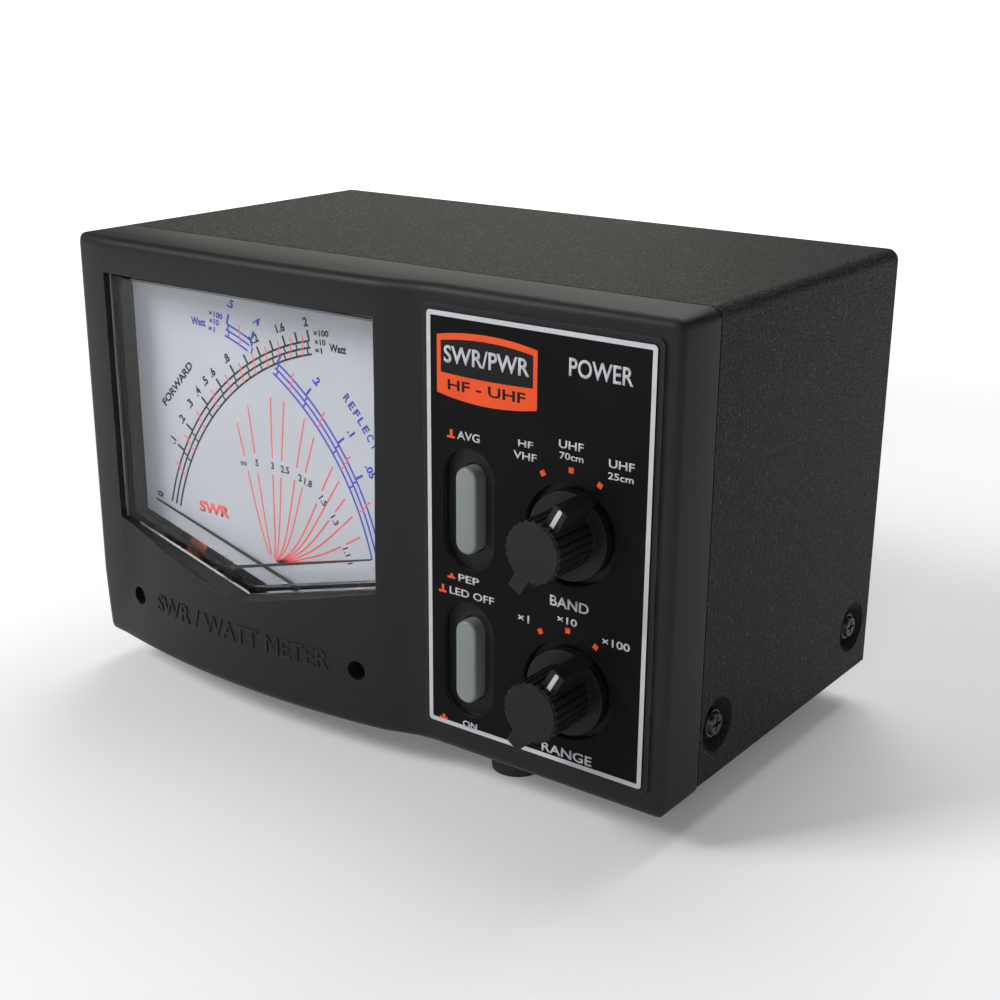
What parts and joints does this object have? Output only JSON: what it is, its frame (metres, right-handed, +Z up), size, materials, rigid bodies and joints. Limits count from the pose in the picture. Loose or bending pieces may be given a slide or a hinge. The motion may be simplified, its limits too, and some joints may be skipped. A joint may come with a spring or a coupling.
{
  "type": "swr meter",
  "caption": "Cross-needle SWR and power meter for amateur radio: sheet-covered case, moulded front with V-bottomed dial window, fluted knobs, push keys and coaxial sockets.",
  "frame": {"origin": "on the floor under the middle of the object, between the knobs' fronts and the sockets' ends", "axes": "+X right, +Y to the back where the sockets are, +Z up"},
  "size_m": [0.155, 0.1158, 0.103],
  "materials": {
    "panel_plastic": "moulded charcoal plastic, fine matte grain",
    "label_film": "black satin film with light print",
    "cover_finish": "black leather-grain finish",
    "chassis_paint": "satin black paint on steel",
    "black_screw": "black oxide",
    "bright_screw": "nickel plated",
    "rubber": "black rubber",
    "clear_plastic": "clear acrylic",
    "black_plastic": "black moulding",
    "dial_white": "printed white dial",
    "aluminium": "plain aluminium",
    "board_green": "solder-resist board",
    "led_lens": "diffused lens",
    "knob_plastic": "black satin moulding",
    "shaft_metal": "turned metal",
    "switch_body": "phenolic body",
    "brass": "plain brass",
    "steel_sheet": "zinc plated sheet",
    "key_plastic": "grey moulding",
    "spring_steel": "steel wire",
    "part_black": "component bodies",
    "tin_box": "tin plated steel",
    "nickel": "nickel plated brass",
    "insulator": "white insulator",
    "jack_black": "black moulding",
    "lead_plastic": "insulated leads",
    "yoke_steel": "plated steel ring",
    "core_iron": "magnet core",
    "copper": "enamelled copper wire",
    "needle_black": "black aluminium"
  },
  "bodies": {
    "case": {"front_panel": "panel_plastic", "control_label": "label_film", "cover": "cover_finish", "chassis": "chassis_paint", "cover_screws": "black_screw", "panel_screws": "black_screw", "rubber_feet": "rubber", "foot_screws": "bright_screw", "meter_window": "clear_plastic", "dial_frame": "black_plastic", "dial_plate": "dial_white", "meter_case": "black_plastic", "meter_screws": "bright_screw", "movement_frame": "aluminium", "forward_yoke": "yoke_steel", "forward_core": "core_iron", "forward_bridge": "brass", "forward_hairspring": "brass", "reflected_yoke": "yoke_steel", "reflected_core": "core_iron", "reflected_bridge": "brass", "reflected_hairspring": "brass", "lamp_board": "board_green", "lamp_leds": "led_lens", "band_switch": "switch_body", "range_switch": "switch_body", "switch_nuts": "brass", "control_bracket": "steel_sheet", "bracket_screws": "bright_screw", "push_switches": "switch_body", "button_springs": "spring_steel", "main_board": "board_green", "board_parts": "part_black", "board_spacers": "brass", "hf_coupler_box": "tin_box", "uhf_coupler_box": "tin_box", "through_lines": "brass", "hf_sockets": "nickel", "uhf_sockets": "nickel", "socket_insulators": "insulator", "socket_contacts": "brass", "socket_screws": "bright_screw", "dc_jack": "jack_black", "wiring": "lead_plastic"},
    "band_selector": {"band_knob": "knob_plastic", "band_shaft": "shaft_metal"},
    "range_selector": {"range_knob": "knob_plastic", "range_shaft": "shaft_metal"},
    "avg_pep_key": {"avg_pep_button": "key_plastic"},
    "led_key": {"led_button": "key_plastic"},
    "forward_pointer": {"forward_needle": "needle_black", "forward_staff": "spring_steel", "forward_coil": "copper"},
    "reflected_pointer": {"reflected_needle": "needle_black", "reflected_staff": "spring_steel", "reflected_coil": "copper"},
    "forward_adjuster": {"forward_zero_screw": "black_plastic"},
    "reflected_adjuster": {"reflected_zero_screw": "black_plastic"},
    "forward_spring_arm": {"forward_zero_arm": "brass"},
    "reflected_spring_arm": {"reflected_zero_arm": "brass"}
  },
  "joints": [
    {"name": "band_turn", "type": "hinge", "parent": "case", "child": "band_selector", "pos_m": [0.056, -0.0507, 0.0602], "axis": [0, -1, 0], "range_deg": [0, 60]},
    {"name": "range_turn", "type": "hinge", "parent": "case", "child": "range_selector", "pos_m": [0.056, -0.0507, 0.0286], "axis": [0, -1, 0], "range_deg": [0, 60]},
    {"name": "avg_pep_press", "type": "slide", "parent": "case", "child": "avg_pep_key", "axis": [0, 1, 0], "range_m": [0, 0.0025], "stiffness_N_per_m": 600, "springref_m": -0.001, "deforming": ["button_springs"]},
    {"name": "led_press", "type": "slide", "parent": "case", "child": "led_key", "axis": [0, 1, 0], "range_m": [0, 0.0025], "stiffness_N_per_m": 600, "springref_m": -0.001},
    {"name": "forward_deflect", "type": "hinge", "parent": "case", "child": "forward_pointer", "pos_m": [-0.0007, -0.0357, 0.0262], "axis": [0, 1, 0], "range_deg": [-3, 66], "stiffness_Nm_per_rad": 0.004, "deforming": ["forward_hairspring"]},
    {"name": "forward_zero_turn", "type": "hinge", "parent": "case", "child": "forward_adjuster", "pos_m": [0.0053, -0.0427, 0.02], "axis": [0, 1, 0], "range_deg": [-45, 45]},
    {"name": "forward_arm_turn", "type": "hinge", "parent": "case", "child": "forward_spring_arm", "pos_m": [-0.0007, -0.0377, 0.0262], "axis": [0, 1, 0], "range_deg": [-6, 6]},
    {"name": "reflected_deflect", "type": "hinge", "parent": "case", "child": "reflected_pointer", "pos_m": [-0.0567, -0.0357, 0.0262], "axis": [0, -1, 0], "range_deg": [-3, 66], "stiffness_Nm_per_rad": 0.004, "deforming": ["reflected_hairspring"]},
    {"name": "reflected_zero_turn", "type": "hinge", "parent": "case", "child": "reflected_adjuster", "pos_m": [-0.0627, -0.0427, 0.02], "axis": [0, 1, 0], "range_deg": [-45, 45]},
    {"name": "reflected_arm_turn", "type": "hinge", "parent": "case", "child": "reflected_spring_arm", "pos_m": [-0.0567, -0.0377, 0.0262], "axis": [0, 1, 0], "range_deg": [-6, 6]}
  ],
  "couplings": [
    {"joint": "forward_arm_turn", "follows": "forward_zero_turn", "ratio": -0.12},
    {"joint": "reflected_arm_turn", "follows": "reflected_zero_turn", "ratio": -0.12}
  ]
}
